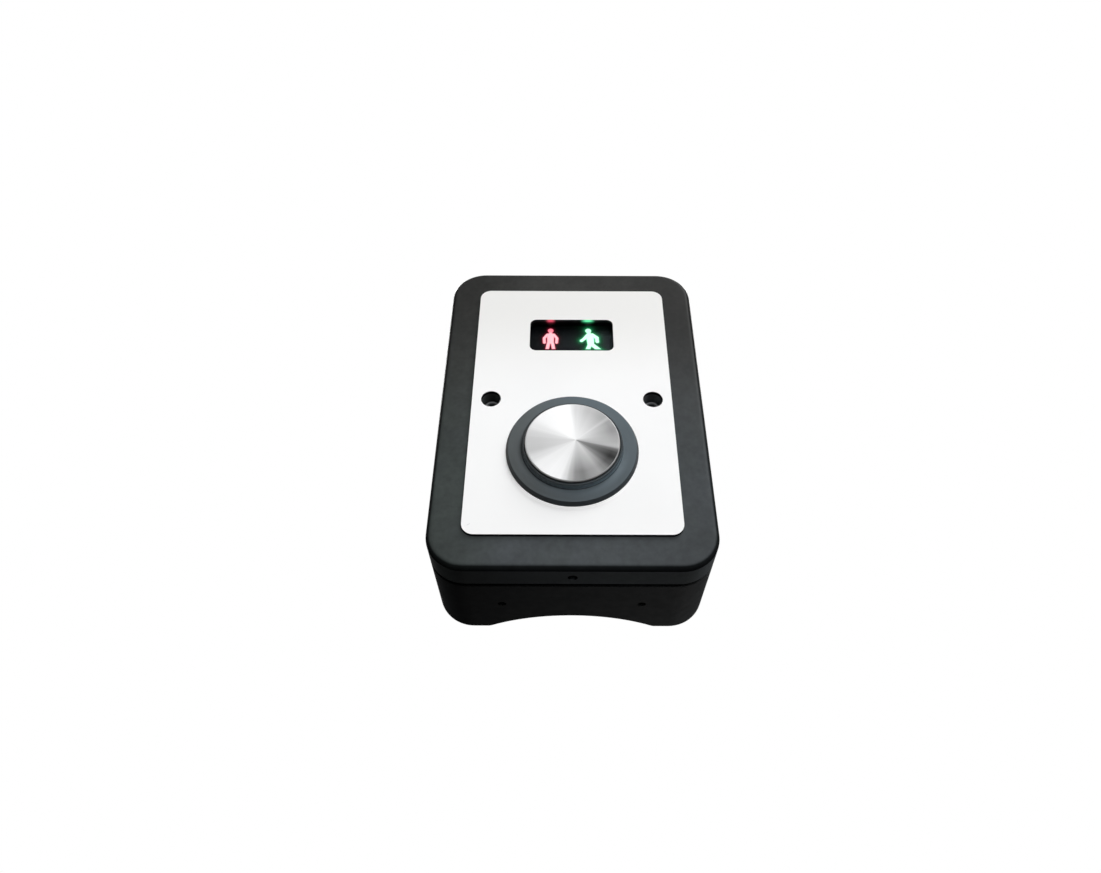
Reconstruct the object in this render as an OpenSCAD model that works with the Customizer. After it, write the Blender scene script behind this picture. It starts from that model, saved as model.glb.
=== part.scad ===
// Pole-mounted pedestrian crossing push-button unit.
// Origin: apex of the saddle face at mid-height.
// X to the right seen from the front, +Y towards the pole, +Z up.

/* [Body] */
// Outside width of cover and housing
body_w = 132; // [126:1:150]
// Outside height of cover and housing
body_h = 186; // [180:1:220]
// Corner radius of the outline
corner_r = 18; // [14:0.5:24]
// Rounded edge round the front of the cover and the back of the housing
edge_r = 3; // [1:0.5:4]
// Wall thickness
wall = 3; // [2.5:0.1:4]

/* [Pole saddle] */
// Radius of the pole the back is shaped for
pole_r = 70; // [65:1:90]
// Distance between the two pole bolts
bolt_pitch = 110; // [100:1:120]
// Diameter of the pole bolt holes
bolt_d = 6.6; // [5.5:0.1:8.5]
// Bore of the cable grommet
cable_d = 8; // [5:0.5:10]

/* [Face plate] */
// Plate width
plate_w = 100; // [96:1:104]
// Plate height
plate_h = 154; // [150:1:158]
// Plate corner radius
plate_r = 5.7; // [4:0.1:8]

/* [Window] */
// Opening width
win_w = 44.3; // [42:0.1:45]
// Opening height
win_h = 22.3; // [20:0.1:22.5]
// Height of the window centre above the origin
win_z = 43.8; // [42:0.1:46]

/* [Button] */
// Height of the button centre
btn_z = -31; // [-34:0.5:-30]
// Diameter of the bezel flange
flange_d = 63.4; // [60:0.2:66]
// Diameter of the steel cap
cap_d = 45; // [43:0.1:45.5]
// How far the cap stands off the plate
cap_out = 7; // [6.5:0.1:9]

/* [Cover screws] */
// Distance of each screw from the centreline
screw_x = 40.5; // [40:0.5:42]
// Diameter of the access holes
access_d = 9.9; // [9:0.1:10.5]

/* [Hidden] */
$fn = 96;

// stations along Y, front to rear
y_face = -51;      // front of the face plate
y_cover = -49.5;   // face of the cover
y_plate = -49;     // back of the face plate
y_win = -46.5;     // seat of the window lens
y_in = -46;        // inside of the cover's front wall
y_box = -44.5;     // front of the light box
y_ear = -36;       // front of the light box ears
y_bracket = -35.5; // front of the switch bracket
y_rim = -34.5;     // rear rim of the cover
y_joint = -33;     // where cover bosses meet housing bosses
y_house = -31.5;   // front rim of the housing
y_led = -30;       // front of the LED board
y_pcb = -10;       // front of the control board
y_back = 15;       // back lands of the housing

// places and sizes shared between pieces
bottom = -body_h / 2;
boss_r = 8;        // cover screw bosses
pillar_r = 4;      // small screw pillars
light_screw_x = 32;
bracket_screw_x = 36;
clear_r = 1.7;     // clearance hole for a small screw
board_t = 1.6;     // thickness of both circuit boards
bracket_t = 1.5;
board_hole_x = 26;
board_hole_z = 38;
bezel_hole_r = 26.3;
lock_y = -40.5;
grommet_z = 76;

// ---- helpers -------------------------------------------------------------
// lays a drawing on the face: local x to +X, local y to +Z, local z to -Y
module face(y, x = 0, z = 0) { translate([x, y, z]) rotate([90, 0, 0]) children(); }
// the same seen from behind: local x to +X, local y to -Z, local z to +Y
module back(y, z = 0) { translate([0, y, z]) rotate([-90, 0, 0]) children(); }

// a face drawing made solid from y = front to y = rear
module layer(front, rear, x = 0, z = 0) {
  face(rear, x, z) linear_extrude(rear - front) children();
}

// cylinder along Y from front to rear
module post(x, z, radius, front, rear) {
  face(rear, x, z) cylinder(r = radius, h = rear - front);
}

// cylinder along X that starts at x
module cross_rod(x, y, z, radius, length) {
  translate([x, y, z]) rotate([0, 90, 0]) cylinder(r = radius, h = length);
}

module ring(outer, inner) { difference() { circle(outer); circle(inner); } }

module rounded_rect(width, height, radius) {
  union() {
    square([width - 2 * radius, height], center = true);
    square([width, height - 2 * radius], center = true);
    for (x = [-1, 1], y = [-1, 1])
      translate([x * (width / 2 - radius), y * (height / 2 - radius)]) circle(radius);
  }
}

module body_outline(inset = 0) {
  rounded_rect(body_w - 2 * inset, body_h - 2 * inset, corner_r - inset);
}

module plate_outline(gap = 0) {
  rounded_rect(plate_w + 2 * gap, plate_h + 2 * gap, plate_r + gap);
}

module window_opening() { rounded_rect(win_w, win_h, 3.5); }

module lens_outline(gap = 0) { rounded_rect(50 + 2 * gap, 28 + 2 * gap, 2 + gap); }

// block of the body outline with a rounded edge round its far face
module body_block(depth) {
  edge_z = depth - edge_r;
  union() {
    linear_extrude(edge_z) body_outline();
    linear_extrude(depth) body_outline(edge_r);
    for (x = [-1, 1])
      translate([x * (body_w / 2 - edge_r), 0, edge_z]) rotate([90, 0, 0])
        cylinder(r = edge_r, h = body_h - 2 * corner_r, center = true);
    for (y = [-1, 1])
      translate([0, y * (body_h / 2 - edge_r), edge_z]) rotate([0, 90, 0])
        cylinder(r = edge_r, h = body_w - 2 * corner_r, center = true);
    for (x = [-1, 1], y = [-1, 1])
      translate([x * (body_w / 2 - corner_r), y * (body_h / 2 - corner_r), edge_z])
        rotate_extrude() translate([corner_r - edge_r, 0]) circle(edge_r);
  }
}

// small screw put in from the rear: round head behind y = seat, hexagonal recess
module pan_screw(x, z, seat, length) {
  shank_r = 1.45;
  head_t = 2;
  recess_rear = seat + head_t + 0.1;
  difference() {
    union() {
      post(x, z, 2.75, seat, seat + head_t);
      post(x, z, shank_r, seat - length, seat + 0.5);
    }
    post(x, z, shank_r * 0.75, recess_rear - head_t * 0.6, recess_rear, $fn = 6);
  }
}

// ---- outside shells ------------------------------------------------------
module front_cover() color("#41474a") difference() {
  root = y_in - 0.2; // bosses and pillars sink a little into the front wall
  union() {
    difference() {
      face(y_rim) body_block(y_rim - y_cover);
      layer(y_in, y_rim + 1) body_outline(wall);
    }
    for (s = [-1, 1]) {
      post(s * screw_x, 0, boss_r, root, y_joint);
      post(s * light_screw_x, win_z, pillar_r, root, y_ear);
      post(s * bracket_screw_x, btn_z, pillar_r, root, y_bracket);
    }
    layer(root, y_box, z = win_z) rounded_rect(55, 33, 3); // frame round the window
  }
  layer(y_face, y_plate) plate_outline(0.2);
  layer(-52, -40, z = win_z) window_opening();
  layer(y_win, -43, z = win_z) lens_outline(0.2);
  post(0, btn_z, bezel_hole_r, -55, -40);
  for (s = [-1, 1]) {
    post(s * screw_x, 0, access_d / 2, -55, -40);
    post(s * screw_x, 0, 2.75, -45, -30);
    post(s * light_screw_x, win_z, 1.5, -43, -30);
    post(s * bracket_screw_x, btn_z, 1.5, -43.5, -30);
  }
  translate([0, lock_y, bottom - 1]) cylinder(r = 2.25, h = 8);
}

// upright cylinder on the pole's axis
module pole(radius, height) {
  translate([0, pole_r, 0]) cylinder(r = radius, h = height, center = true, $fn = 192);
}

module rear_housing() color("#232628") difference() {
  saddle_t = 4;
  tab_w = 14;
  union() {
    difference() {
      back(y_house) body_block(y_back - y_house);
      difference() {
        layer(y_house - 1, y_back - wall) body_outline(wall);
        pole(pole_r + saddle_t, body_h + 10);
      }
    }
    for (s = [-1, 1]) {
      post(s * screw_x, 0, boss_r, y_joint, 12);
      for (t = [-1, 1]) // board bosses
        post(s * board_hole_x, t * board_hole_z, 3.5, y_pcb + board_t, 5);
      post(0, s * bolt_pitch / 2, 9, -6.5, 2); // pads for the pole bolts
    }
    post(0, grommet_z, 13.8, -5.5, 2);         // pad for the cable grommet
    // lock tab reaching into the cover, and its root on the bottom wall
    translate([-tab_w / 2, -44, bottom + 3.2]) cube([tab_w, 24, 3]);
    translate([-tab_w / 2, y_house, bottom + 1]) cube([tab_w, 11.5, 3]);
  }
  pole(pole_r, body_h + 20);
  for (s = [-1, 1]) {
    post(0, s * bolt_pitch / 2, bolt_d / 2, -20, 10);
    post(s * screw_x, 0, 3.55, -40, -22); // insert pocket
    post(s * screw_x, 0, 2.8, -30, -14);  // screw hole behind it
    for (t = [-1, 1]) post(s * board_hole_x, t * board_hole_z, 1.25, -15, -2);
    // holes through the bottom wall
    translate([s * 32.8, -13, bottom - 1]) cylinder(r = 2, h = 6);
  }
  post(0, grommet_z, 10, -20, 10);
  post(0, grommet_z, 13, -2.5, 10);
  translate([0, lock_y, bottom - 1]) cylinder(r = 2.5, h = 12);
}

module housing_gasket() color("#0c0c0d") layer(y_rim, y_house) difference() {
  body_outline(1.5);
  body_outline(wall);
}

module face_plate() color("#f2f3f3") layer(y_face, y_plate) difference() {
  plate_outline();
  translate([0, win_z]) window_opening();
  translate([0, btn_z]) circle(bezel_hole_r);
  for (s = [-1, 1]) translate([s * screw_x, 0]) circle(access_d / 2);
}

// ---- pictogram figures ---------------------------------------------------
drawn_z = 43.8; // window height that the figures are drawn for
sole_y = 38.7;  // the legs are cut off level here

// limbs of the figures: [start, end, radius]
red_trunk = [
  [[0, 51], [0, 48.5], 0.95], [[-1.55, 49.25], [1.55, 49.25], 0.85]
];
red_side = [ // for x > 0, mirrored for the other side
  [[1.75, 49.2], [3.45, 46.6], 0.85], [[3.45, 46.6], [3.25, 43.4], 0.85],
  [[1.1, 42.9], [2.1, 36], 0.98]
];
green_limbs = [
  [[0.2, 51], [0.9, 48], 1.15],
  [[2.1, 49.2], [4.55, 47], 1.15], [[4.55, 47], [4.8, 44.2], 1.05],
  [[-0.3, 49], [-1.9, 46.6], 1.1], [[-1.9, 46.6], [-3.7, 44.8], 0.98],
  [[0.75, 42], [-1.25, 36.2], 1.2],
  [[1.7, 42.3], [5.6, 38.2], 1.25], [[5.6, 38.2], [7.5, 36.2], 1.2]
];

// stroke with round ends; its straight part is 0.02 narrower on each side
module limb(start, end, radius) {
  run = end - start;
  union() {
    translate(start) circle(radius, $fn = 32);
    translate(end) circle(radius, $fn = 32);
    translate(start) rotate(atan2(run.y, run.x)) translate([0, 0.02 - radius])
      square([norm(run), 2 * radius - 0.04]);
  }
}

// draws a table of limbs; side = -1 mirrors them
module limbs(table, grow, side = 1) {
  for (row = table)
    limb([side * row[0].x, row[0].y], [side * row[1].x, row[1].y], row[2] + grow);
}

// standing figure; grow widens it all round
module red_figure(grow = 0) {
  translate([-11.3, win_z - drawn_z]) difference() {
    union() {
      translate([0, 52.15]) circle(1.55 + grow, $fn = 48);
      limbs(red_trunk, grow);
      polygon([
        [-1.95 - grow, 49.4 + grow], [1.95 + grow, 49.4 + grow],
        [1.8 + grow, 42.4 - grow], [-1.8 - grow, 42.4 - grow]
      ]);
      for (s = [-1, 1]) limbs(red_side, grow, s);
    }
    translate([-6, 32]) square([12, sole_y - 32 - grow]);
  }
}

// walking figure; grow widens it all round
module green_figure(grow = 0) {
  translate([9.1, win_z - drawn_z]) difference() {
    union() {
      translate([0, 52.15]) circle(1.65 + grow, $fn = 48);
      limbs(green_limbs, grow);
      polygon([
        [-1.0 - grow, 49.9 + grow], [2.5 + grow, 49.9 + grow], [3.25 + grow, 46],
        [2.8 + grow, 41.4 - grow], [-0.3 - grow, 41.4 - grow], [-0.95 - grow, 45]
      ]);
    }
    translate([-6, 32]) square([18, sole_y - 32 - grow]);
  }
}

// ---- signal window -------------------------------------------------------
red_x = -12.2;  // centre of the red compartment
green_x = 11.1; // centre of the green compartment
red_lens_w = 20.3;
green_lens_w = 22.5;
lens_h = 22.6;

module window_lens() color("#9fb3bf") layer(y_win, y_win + 1, z = win_z) lens_outline();

module window_gasket() color("#161616") layer(y_box - 0.98, y_box, z = win_z) difference() {
  lens_outline();
  rounded_rect(47, 25, 1);
}

module pictogram_mask() color("#0a0b0c") layer(y_box - 0.95, y_box) difference() {
  translate([0, win_z]) rounded_rect(46.8, 24.8, 1);
  red_figure(0.08);
  green_figure(0.08);
}

// lens slab with the child figure raised on its front
module figure_lens(x, width) {
  union() {
    layer(-44.45, -43.05, x = x, z = win_z) rounded_rect(width, lens_h, 1);
    layer(-45.4, -44) children();
  }
}

module red_figure_lens() color("#e8344a") figure_lens(red_x, red_lens_w) red_figure();

module green_figure_lens() color("#35e08a") figure_lens(green_x, green_lens_w) green_figure();

// lens pocket in front and the light opening right through
module compartment(x, lens_w, opening_w) {
  lens_gap = 0.2;
  layer(-46, -43, x = x, z = win_z) rounded_rect(lens_w + lens_gap, lens_h + lens_gap, 1);
  layer(-50, -20, x = x, z = win_z) rounded_rect(opening_w, 20.6, 1);
}

module light_box() color("#d9dcdc") difference() {
  ear = 6; // width and depth of the web between box and screw
  union() {
    layer(y_box, y_led, z = win_z) rounded_rect(54, 32, 2);
    for (s = [-1, 1]) {
      post(s * light_screw_x, win_z, pillar_r, y_ear, y_led);
      translate([s > 0 ? light_screw_x - ear : -light_screw_x, y_ear, win_z - pillar_r])
        cube([ear, ear, 2 * pillar_r]);
    }
  }
  compartment(red_x, red_lens_w, 17.5);
  compartment(green_x, green_lens_w, 19.6);
  for (s = [-1, 1]) post(s * light_screw_x, win_z, clear_r, -50, -20);
}

module led_board() color("#1f6b3a") layer(y_led, y_led + board_t, z = win_z) difference() {
  rounded_rect(73, 32, 2);
  for (s = [-1, 1]) translate([s * light_screw_x, 0]) circle(clear_r);
}

// three columns of two LEDs on the front of the board
module leds(middle_x, pitch) {
  size = [2.8, 1.3, 3.5];
  for (i = [-1 : 1], z = [-4.5, 4.5])
    translate([middle_x + i * pitch - size.x / 2, y_led - size.y, win_z + z - size.z / 2])
      cube(size);
}

module red_leds() color("#ff4a4a") leds(red_x, 4.4);

module green_leds() color("#4aff8f") leds(green_x, 4.8);

module light_box_screws() color("#b8bcc0") for (s = [-1, 1])
  pan_screw(s * light_screw_x, win_z, y_led + board_t, 13);

// ---- push button ---------------------------------------------------------
flange_r = flange_d / 2;
cap_r = cap_d / 2;
cap_t = 1.2;      // thickness of the steel cap
cap_edge_r = 0.7;

// turns a profile of [radius, distance forward of the plate face] about the button axis
module turned(facets) { face(y_face, z = btn_z) rotate_extrude($fn = facets) children(); }

// points of an arc between two angles
function arc(centre, radius, from, to, steps = 6) = [
  for (i = [0 : steps])
    let (angle = from + (to - from) * i / steps)
    centre + radius * [cos(angle), sin(angle)]
];

module button_bezel() color("#566470") turned(128) union() {
  polygon(concat(
    [[22.8, -14], [22.8, 5.6]],
    arc([23.3, 5.1], 0.7, 90, 0),
    arc([24.8, 3.3], 0.8, 180, 270),
    arc([flange_r - 1.3, 2.1], 0.4, 90, 25, 4),
    arc([flange_r - 0.4, 0.4], 0.4, 25, 0, 2),
    [[flange_r, 0], [26, 0], [26, -14]]
  ));
  translate([4.06, -12]) square([19, 3]);  // floor
  translate([4.06, -12]) square([1.5, 9]); // sleeve round the stem
}

module bezel_washer() color("#2a2c2e") layer(y_in, y_in + 1, z = btn_z) ring(30.2, 26.1);

module bezel_nut() color("#8d949a") difference() {
  nut_r = 31;
  layer(-45, -39, z = btn_z) ring(nut_r, 26.05);
  for (a = [45 : 90 : 315]) // notches in the rim
    translate([0, -42, btn_z]) rotate([0, a, 0]) translate([nut_r, 0, 0])
      cube([3, 20, 5], center = true);
}

module button_cap() color("#cfd2d4") turned(128) union() {
  translate([0, cap_out - cap_t]) square([cap_r - cap_edge_r, cap_t]);
  translate([cap_r - cap_t, 0]) square([cap_t, cap_out - cap_edge_r]);
  translate([cap_r - cap_edge_r, cap_out - cap_edge_r]) circle(cap_edge_r, $fn = 48);
}

module button_plunger() color("#e7e5dc") turned(96) difference() {
  inset = cap_t + 0.05; // clears the inside of the cap
  disc_y = 2.8;
  tip_y = -18.92;
  tip_r = 2;
  union() {
    translate([0, disc_y]) square([cap_r - inset, cap_out - inset - disc_y]);
    translate([0, -13.5]) square([4, 17]);
    translate([0, tip_y]) square([tip_r, 6]);
    intersection() { // rounded tip
      translate([0, tip_y]) circle(tip_r, $fn = 48);
      translate([0, -21]) square([3, 4]);
    }
  }
  translate([3, -7.6]) square([2, 1.2]);    // seal groove
  translate([3.2, -12.9]) square([2, 0.8]); // clip groove
}

module stem_seal() color("#101010") turned(64) translate([3.54, -7]) circle(0.5, $fn = 24);

module return_spring() color("#b9bdc2") {
  turns = 6;
  turn_steps = 24;
  steps = turns * turn_steps;
  sides = 6; // of the wire's section
  coil_r = 6.55;
  wire_r = 0.45;
  rear = -8.5; // from the plate face
  rise = 10.75;
  points = [for (i = [0 : steps], j = [0 : sides - 1])
    let (turn = 360 * i / turn_steps, around = 360 * j / sides,
         radius = coil_r + wire_r * cos(around))
    [radius * cos(turn), radius * sin(turn), rear + rise * i / steps + wire_r * sin(around)]];
  faces = concat(
    [[for (j = [0 : sides - 1]) j]],
    [for (i = [0 : steps - 1], j = [0 : sides - 1])
      let (near = i * sides, far = near + sides, next = (j + 1) % sides)
      [near + j, far + j, far + next, near + next]],
    [[for (j = [sides - 1 : -1 : 0]) steps * sides + j]]);
  face(y_face, z = btn_z) polyhedron(points, faces, convexity = 8);
}

// open at the bottom
module retaining_clip() color("#9aa0a6") layer(y_face + 12.15, y_face + 12.85, z = btn_z)
  difference() {
    circle(6, $fn = 64);
    circle(3.25, $fn = 48);
    translate([-2.4, -7]) square([4.8, 7]);
  }

// ---- microswitch ---------------------------------------------------------
lever_z = btn_z + 13; // lever pivot
lever_y = -29;
switch_button_z = lever_z - 5.5;
mount_y = -20.5;      // switch mounting screws
mount_zs = [lever_z - 4, lever_z - 13.5];

module switch_bracket() color("#a9afb4") difference() {
  web_x = 3.3; // upright web beside the switch
  union() {
    translate([-40, y_bracket, btn_z - 8]) cube([80, bracket_t, 16]);
    translate([web_x, y_bracket, btn_z - 6.5]) cube([bracket_t, 1.6, 13]);
    translate([web_x, -34.2, btn_z - 6.5]) cube([bracket_t, 18.2, 21]);
  }
  post(0, btn_z, 4.3, -40, -33);
  for (s = [-1, 1]) post(s * bracket_screw_x, btn_z, clear_r, -40, -30);
  for (z = mount_zs) cross_rod(0, mount_y, z, 1.15, 12, $fn = 32);
}

module bracket_screws() color("#b8bcc0") for (s = [-1, 1])
  pan_screw(s * bracket_screw_x, btn_z, y_bracket + bracket_t, 8);

module switch_body() color("#1d1f22") difference() {
  union() {
    translate([-3.2, -26.3, lever_z - 18.3]) cube([6.4, 8.6, 20]);
    for (x = [-3.2, 1.6]) // lever lugs
      translate([x, -30, lever_z - 1.4]) cube([1.6, 4, 2.8]);
  }
  post(0, switch_button_z, 0.86, -30, -23);
  cross_rod(-5, lever_y, lever_z, 0.51, 10, $fn = 24);
  for (z = mount_zs) cross_rod(-5, mount_y, z, 1.15, 10, $fn = 32);
}

module switch_lever() color("#c8ccd0") difference() {
  blade_t = 0.4;
  union() {
    translate([-2, -30, lever_z - 15.5]) cube([4, blade_t, 14]);
    translate([-1.4, -30, lever_z - 1.6]) cube([2.8, blade_t, 1.6]);
    translate([-1.4, -30, lever_z - 1]) cube([2.8, 1.9, 2]); // pivot block
  }
  cross_rod(-5, lever_y, lever_z, 0.55, 10, $fn = 24);
}

module lever_pin() color("#9aa0a6") cross_rod(-3.1, lever_y, lever_z, 0.5, 6.2, $fn = 24);

module switch_button() color("#a33a34") back(-29.54, switch_button_z) {
  radius = 0.8;
  rotate_extrude($fn = 32) union() {
    translate([0, radius]) square([radius, 3.7]);
    intersection() { // rounded front end
      translate([0, radius]) circle(radius, $fn = 32);
      square([1, 1.6]);
    }
  }
}

module switch_terminals() color("#c9a24a") for (drop = [2, 8.8, 15.5])
  translate([-0.25, -17.7, lever_z - drop - 1.6]) cube([0.5, 4.4, 3.2]);

module switch_screws() color("#b8bcc0") for (z = mount_zs) difference() {
  union() {
    cross_rod(-4.7, mount_y, z, 2, 1.5, $fn = 32);
    cross_rod(-4, mount_y, z, 1.1, 9.4, $fn = 32);
  }
  translate([-5, mount_y - 0.3, z - 3]) cube([0.8, 0.6, 6]); // slot
}

// ---- electronics ---------------------------------------------------------
terminal_z = 28.5;
terminal_xs = [for (i = [0 : 5]) -17 + 6 * i];

module control_board() color("#1d5f3a") layer(y_pcb, y_pcb + board_t) difference() {
  rounded_rect(60, 84, 2);
  for (s = [-1, 1], t = [-1, 1])
    translate([s * board_hole_x, t * board_hole_z]) circle(clear_r);
}

// box standing on the front of the control board, lower left corner at x, z
module on_board(x, z, size) { translate([x, y_pcb - size.y, z]) cube(size); }

module board_components() color("#2b2d33") union() {
  for (z = [-26, -14]) post(20, z, 4, y_pcb - 9, y_pcb);
  on_board(-24, -12, [12, 2, 12]);
  on_board(10, 2, [9, 2.4, 7]);
  on_board(-26, -30, [6, 4.5, 10]);
}

module board_connectors() color("#ece7d4") for (corner = [[-6, 12], [9.5, -37]])
  difference() {
    on_board(corner.x, corner.y, [13, 4.5, 6]);
    translate([corner.x + 1, y_pcb - 5.5, corner.y + 1]) cube([11, 3.5, 4]);
  }

module board_screws() color("#b8bcc0") for (s = [-1, 1], t = [-1, 1]) {
  x = s * board_hole_x;
  z = t * board_hole_z;
  difference() {
    union() {
      post(x, z, 2.75, y_pcb - 2, y_pcb);
      post(x, z, 1.2, y_pcb - 0.5, y_pcb + 7.5);
    }
    post(x, z, 1.1, y_pcb - 2.8, y_pcb - 0.8, $fn = 6);
  }
}

module terminal_block() color("#3f8f58") difference() {
  on_board(-20, 24, [36, 10, 9]);
  for (x = terminal_xs) {
    post(x, terminal_z, 2.1, y_pcb - 11, y_pcb - 4);
    translate([x - 1.9, y_pcb - 4.2, 30]) cube([3.8, 3.2, 4]); // wire entry in the top
  }
}

module terminal_screws() color("#c4c8cc") for (x = terminal_xs) difference() {
  post(x, terminal_z, 2, y_pcb - 8.6, y_pcb - 4.1);
  translate([x - 0.3, y_pcb - 9, 26]) cube([0.6, 1.2, 5]);
}

// point at t (0 to 1) on the cubic curve with four control points
function curve(control, t) =
  pow(1 - t, 3) * control[0] + 3 * pow(1 - t, 2) * t * control[1]
  + 3 * (1 - t) * t * t * control[2] + pow(t, 3) * control[3];
function unit(vector) = vector / norm(vector);

// flexible lead: a round section swept along a cubic curve
module lead(control) {
  radius = 0.6;
  steps = 14;
  sides = 8;
  reference = [0.96, 0.2, 0.19]; // fixes how the section is turned about the curve
  points = [for (i = [0 : steps])
    let (t = i / steps,
         heading = unit(curve(control, min(1, t + 0.01)) - curve(control, max(0, t - 0.01))),
         across = unit(cross(heading, reference)),
         up = cross(heading, across))
    for (j = [0 : sides - 1])
      curve(control, t) + radius * (cos(360 * j / sides) * across + sin(360 * j / sides) * up)];
  faces = concat(
    [[for (j = [sides - 1 : -1 : 0]) j]],
    [for (i = [0 : steps - 1], j = [0 : sides - 1])
      let (near = i * sides, far = near + sides, next = (j + 1) % sides)
      each [[near + j, near + next, far + next], [near + j, far + next, far + j]]],
    [[for (j = [0 : sides - 1]) steps * sides + j]]);
  polyhedron(points, faces, convexity = 4);
}

module switch_leads() color("#b5322c") {
  lead([[0.3, -14.3, -33.5], [6.5, -14.3, -34], [12.5, -19.5, -34], [12.5, -12.1, -34]]);
  lead([[0.3, -14.3, -26.8], [7, -14.3, -26.8], [17, -21, -34], [17, -12.1, -34]]);
}

module led_leads() color("#2d4fae") for (x = [-3, 0, 3])
  lead([[x, y_led + 1.65, 33.5], [x, -21, 33.5], [x, -24, 15], [x, -12.1, 15]]);

// ---- fixings -------------------------------------------------------------
module cover_screws() color("#17181a") for (s = [-1, 1]) face(0, x = s * screw_x) difference() {
  // [radius, distance forward of the origin]
  rotate_extrude() polygon([
    [0, 24], [2.5, 24], [2.5, 40], [4.25, 40], [4.25, 43.6], [3.55, 44.2], [0, 44.2]
  ]);
  translate([0, 0, 41.6]) cylinder(r = 2.31, h = 4, $fn = 6);
}

module threaded_inserts() color("#b58d3d") for (s = [-1, 1]) difference() {
  post(s * screw_x, 0, 3.5, -32.95, -23);
  post(s * screw_x, 0, 2.55, -40, -20);
}

module lock_screw() color("#2b2d2f") translate([0, lock_y, -91.6]) difference() {
  cylinder(r = 2.15, h = 6, $fn = 48);
  translate([0, 0, -1]) cylinder(r = 1.15, h = 3.2, $fn = 6);
}

module cable_grommet() color("#151617") back(0, grommet_z) rotate_extrude() union() {
  bore_r = cable_d / 2;
  // front lip, body, rear flange: [outer radius, front y, length]
  for (part = [[11.7, -7.4, 1.8], [9.9, -7.4, 6.6], [12.4, -2.4, 1.6]])
    translate([bore_r, part[1]]) square([part[0] - bore_r, part[2]]);
}

front_cover();
face_plate();
window_lens();
window_gasket();
pictogram_mask();
red_figure_lens();
green_figure_lens();
light_box();
led_board();
red_leds();
green_leds();
light_box_screws();
button_bezel();
bezel_washer();
bezel_nut();
button_cap();
button_plunger();
stem_seal();
return_spring();
retaining_clip();
switch_bracket();
bracket_screws();
switch_body();
switch_lever();
lever_pin();
switch_button();
switch_terminals();
switch_screws();
control_board();
board_components();
board_connectors();
board_screws();
terminal_block();
terminal_screws();
switch_leads();
led_leads();
rear_housing();
housing_gasket();
cover_screws();
threaded_inserts();
lock_screw();
cable_grommet();
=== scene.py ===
import math
import bpy
from mathutils import Matrix, Vector


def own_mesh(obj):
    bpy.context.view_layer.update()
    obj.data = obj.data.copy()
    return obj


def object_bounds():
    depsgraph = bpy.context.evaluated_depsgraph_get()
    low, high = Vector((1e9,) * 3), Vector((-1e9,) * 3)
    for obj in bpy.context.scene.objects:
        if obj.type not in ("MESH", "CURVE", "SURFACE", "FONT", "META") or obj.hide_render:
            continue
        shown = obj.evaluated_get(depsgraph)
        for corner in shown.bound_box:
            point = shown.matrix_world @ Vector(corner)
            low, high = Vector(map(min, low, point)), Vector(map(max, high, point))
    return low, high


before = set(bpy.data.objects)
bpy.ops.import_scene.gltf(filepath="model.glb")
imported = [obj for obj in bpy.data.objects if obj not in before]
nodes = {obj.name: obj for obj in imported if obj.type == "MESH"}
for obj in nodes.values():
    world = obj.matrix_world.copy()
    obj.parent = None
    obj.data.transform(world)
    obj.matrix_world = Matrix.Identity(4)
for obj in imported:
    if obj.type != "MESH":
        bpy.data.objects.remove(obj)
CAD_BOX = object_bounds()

scene = bpy.context.scene
scene.view_settings.view_transform = "Standard"
scene.view_settings.look = "None"

BTN = (0.0, -0.031)      # button centre, x and z
WIN = (0.0, 0.044)       # window centre, x and z


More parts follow.
